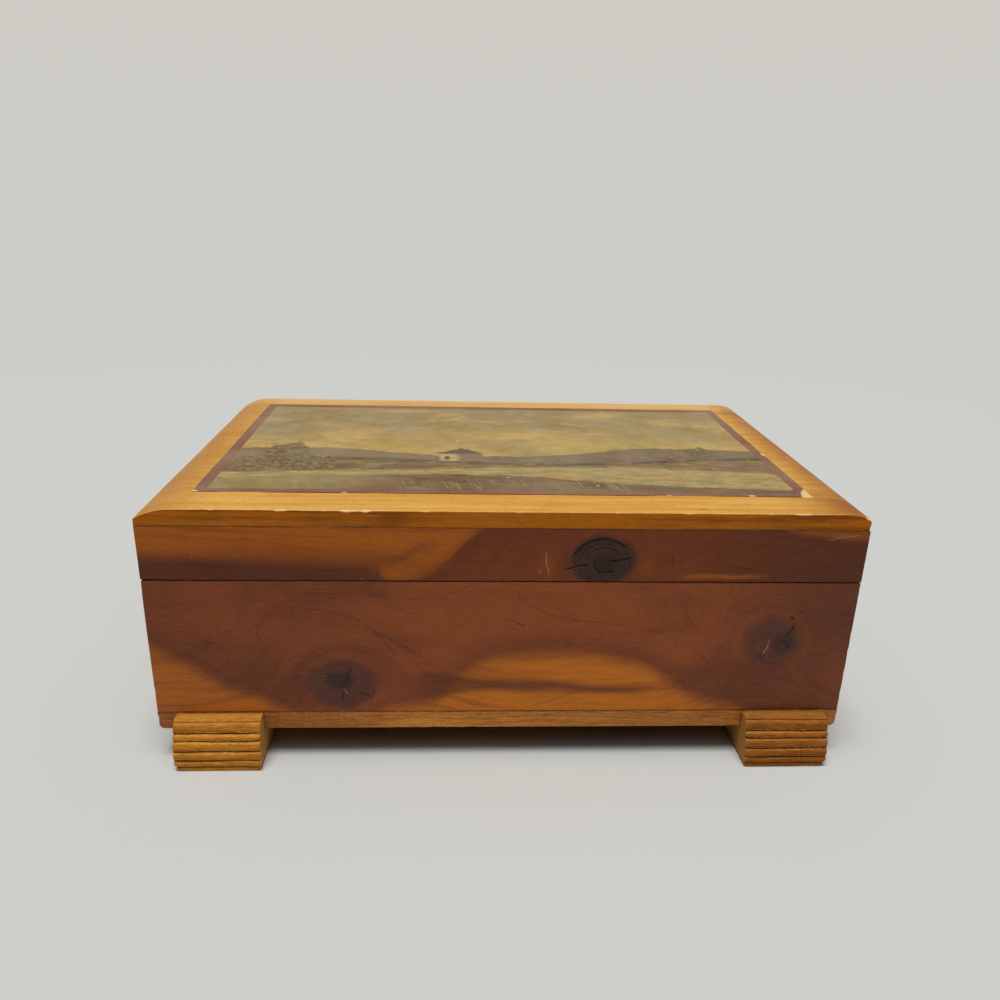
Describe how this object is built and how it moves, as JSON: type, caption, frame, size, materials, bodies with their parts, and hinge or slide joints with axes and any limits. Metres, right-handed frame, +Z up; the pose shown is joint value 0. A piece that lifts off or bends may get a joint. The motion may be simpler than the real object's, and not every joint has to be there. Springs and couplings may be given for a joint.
{
  "type": "wooden jewelry box",
  "caption": "Hinged red cedar keepsake box with a varnished landscape print on the lid and reeded block feet.",
  "frame": {"origin": "on the surface that the feet stand on, under the middle of the box", "axes": "+X to the right as seen from the front, along the long side; -Y towards the front; +Z up"},
  "size_m": [0.26, 0.1838, 0.1013],
  "materials": {
    "red_cedar": "satin varnish over red heartwood with golden sapwood",
    "golden_cedar": "satin varnish over golden sapwood",
    "foot_cedar": "satin varnish, machine reeded",
    "print": null,
    "brass": "aged brass",
    "steel": "dull steel"
  },
  "bodies": {
    "case": {"front_wall": "red_cedar", "back_wall": "red_cedar", "left_wall": "red_cedar", "right_wall": "red_cedar", "bottom_board": "red_cedar", "front_left_foot": "foot_cedar", "front_right_foot": "foot_cedar", "back_left_foot": "foot_cedar", "back_right_foot": "foot_cedar", "left_hinge_lower_leaf": "brass", "right_hinge_lower_leaf": "brass", "left_hinge_pin": "brass", "right_hinge_pin": "brass", "lower_leaf_screws": "brass", "foot_brads": "steel", "bottom_brads": "steel"},
    "lid": {"lid_top_board": "golden_cedar", "lid_front_rail": "red_cedar", "lid_back_rail": "red_cedar", "lid_left_rail": "red_cedar", "lid_right_rail": "red_cedar", "picture_print": "print", "left_hinge_upper_leaf": "brass", "right_hinge_upper_leaf": "brass", "upper_leaf_screws": "brass"}
  },
  "joints": [
    {"name": "lid_hinge", "type": "hinge", "parent": "case", "child": "lid", "pos_m": [0, 0.08025, 0.07405], "axis": [-1, 0, 0], "range_deg": [0, 98]}
  ]
}
